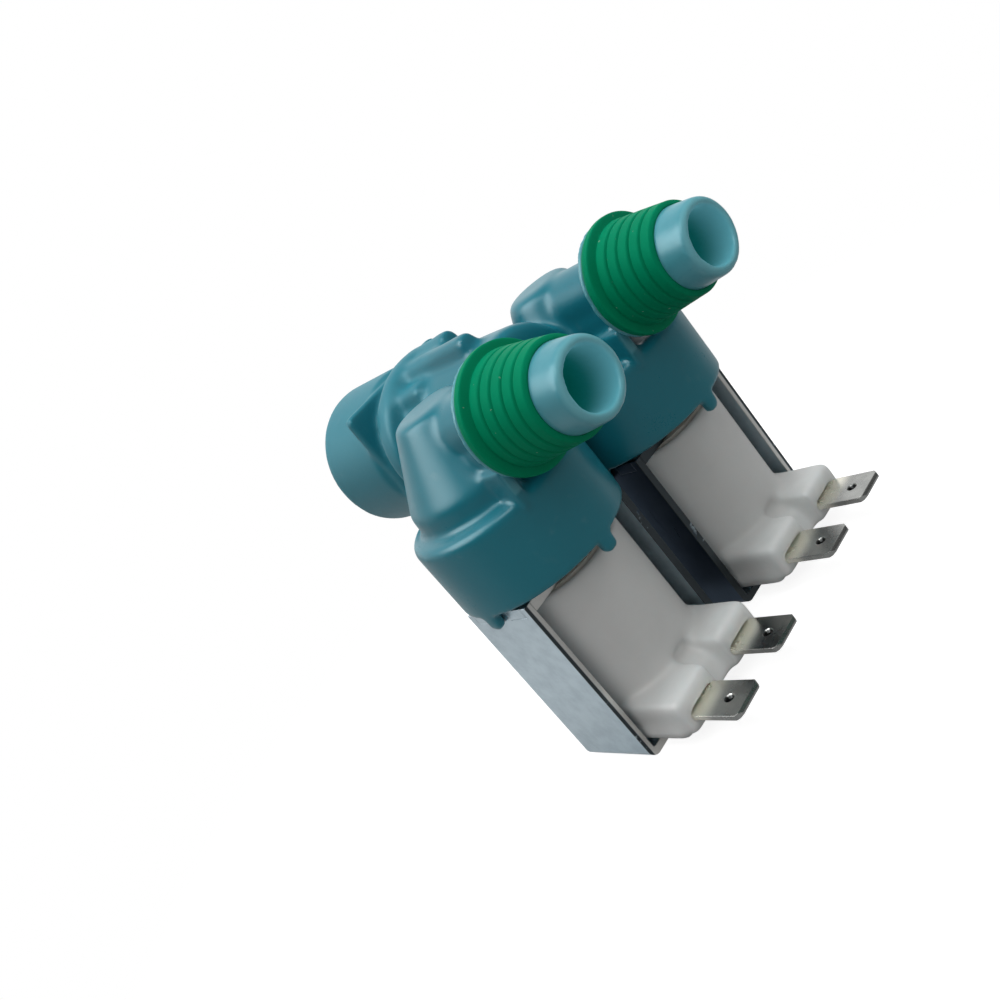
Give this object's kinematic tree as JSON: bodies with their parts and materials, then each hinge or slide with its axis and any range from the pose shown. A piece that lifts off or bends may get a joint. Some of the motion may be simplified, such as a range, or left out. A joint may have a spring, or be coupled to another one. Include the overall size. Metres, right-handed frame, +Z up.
{
  "type": "washing machine inlet valve",
  "caption": "Moulded water inlet valve body with one inlet, angled outlets in ribbed sleeves and a solenoid under each valve drum.",
  "frame": {"origin": "centre of the inlet's open end, on the inlet's axis", "axes": "+X through the inlet towards the outlets, +Y from the left valve to the right valve, +Z up from the solenoids to the outlets"},
  "size_m": [0.0738, 0.0582, 0.0602],
  "materials": {
    "body": "satin moulded polymer, teal",
    "sleeve": "green moulded rubber",
    "overmould": "off-white moulded polymer",
    "zinc": "bright zinc plated steel sheet",
    "tin": "tin plated brass blade",
    "steel": "turned steel",
    "spring": "spring steel wire",
    "copper": "enamelled copper winding",
    "bobbin": "natural nylon",
    "guide": "natural polymer",
    "insert": "natural polymer",
    "rubber": "black rubber",
    "strainer": "natural polymer"
  },
  "bodies": {
    "valve": {"valve_body": "body", "inlet_strainer": "strainer", "flow_washer_seat": "strainer", "flow_washer": "rubber", "outlet_sleeve_left": "sleeve", "diaphragm_left": "rubber", "armature_guide_left": "guide", "plunger_spring_left": "spring", "coil_bracket_left": "zinc", "yoke_plate_left": "zinc", "bobbin_left": "bobbin", "winding_left": "copper", "flux_sleeve_left": "steel", "coil_overmould_left": "overmould", "blade_terminal_left_left": "tin", "blade_terminal_left_right": "tin", "outlet_sleeve_right": "sleeve", "diaphragm_right": "rubber", "armature_guide_right": "guide", "plunger_spring_right": "spring", "coil_bracket_right": "zinc", "yoke_plate_right": "zinc", "bobbin_right": "bobbin", "winding_right": "copper", "flux_sleeve_right": "steel", "coil_overmould_right": "overmould", "blade_terminal_right_left": "tin", "blade_terminal_right_right": "tin"},
    "plunger_left": {"plunger_left": "steel", "plunger_seal_left": "rubber"},
    "diaphragm_left": {"diaphragm_insert_left": "insert"},
    "plunger_right": {"plunger_right": "steel", "plunger_seal_right": "rubber"},
    "diaphragm_right": {"diaphragm_insert_right": "insert"}
  },
  "joints": [
    {"name": "plunger_slide_left", "type": "slide", "parent": "valve", "child": "plunger_left", "axis": [0, 0, -1], "range_m": [0, 0.0024], "stiffness_N_per_m": 120, "springref_m": -0.004, "deforming": ["plunger_spring_left"]},
    {"name": "diaphragm_lift_left", "type": "slide", "parent": "valve", "child": "diaphragm_left", "axis": [0, 0, -1], "range_m": [0, 0.0015], "deforming": ["diaphragm_left"]},
    {"name": "plunger_slide_right", "type": "slide", "parent": "valve", "child": "plunger_right", "axis": [0, 0, -1], "range_m": [0, 0.0024], "stiffness_N_per_m": 120, "springref_m": -0.004, "deforming": ["plunger_spring_right"]},
    {"name": "diaphragm_lift_right", "type": "slide", "parent": "valve", "child": "diaphragm_right", "axis": [0, 0, -1], "range_m": [0, 0.0015], "deforming": ["diaphragm_right"]}
  ],
  "couplings": [
    {"joint": "diaphragm_lift_left", "follows": "plunger_slide_left", "ratio": 0.625},
    {"joint": "diaphragm_lift_right", "follows": "plunger_slide_right", "ratio": 0.625}
  ]
}
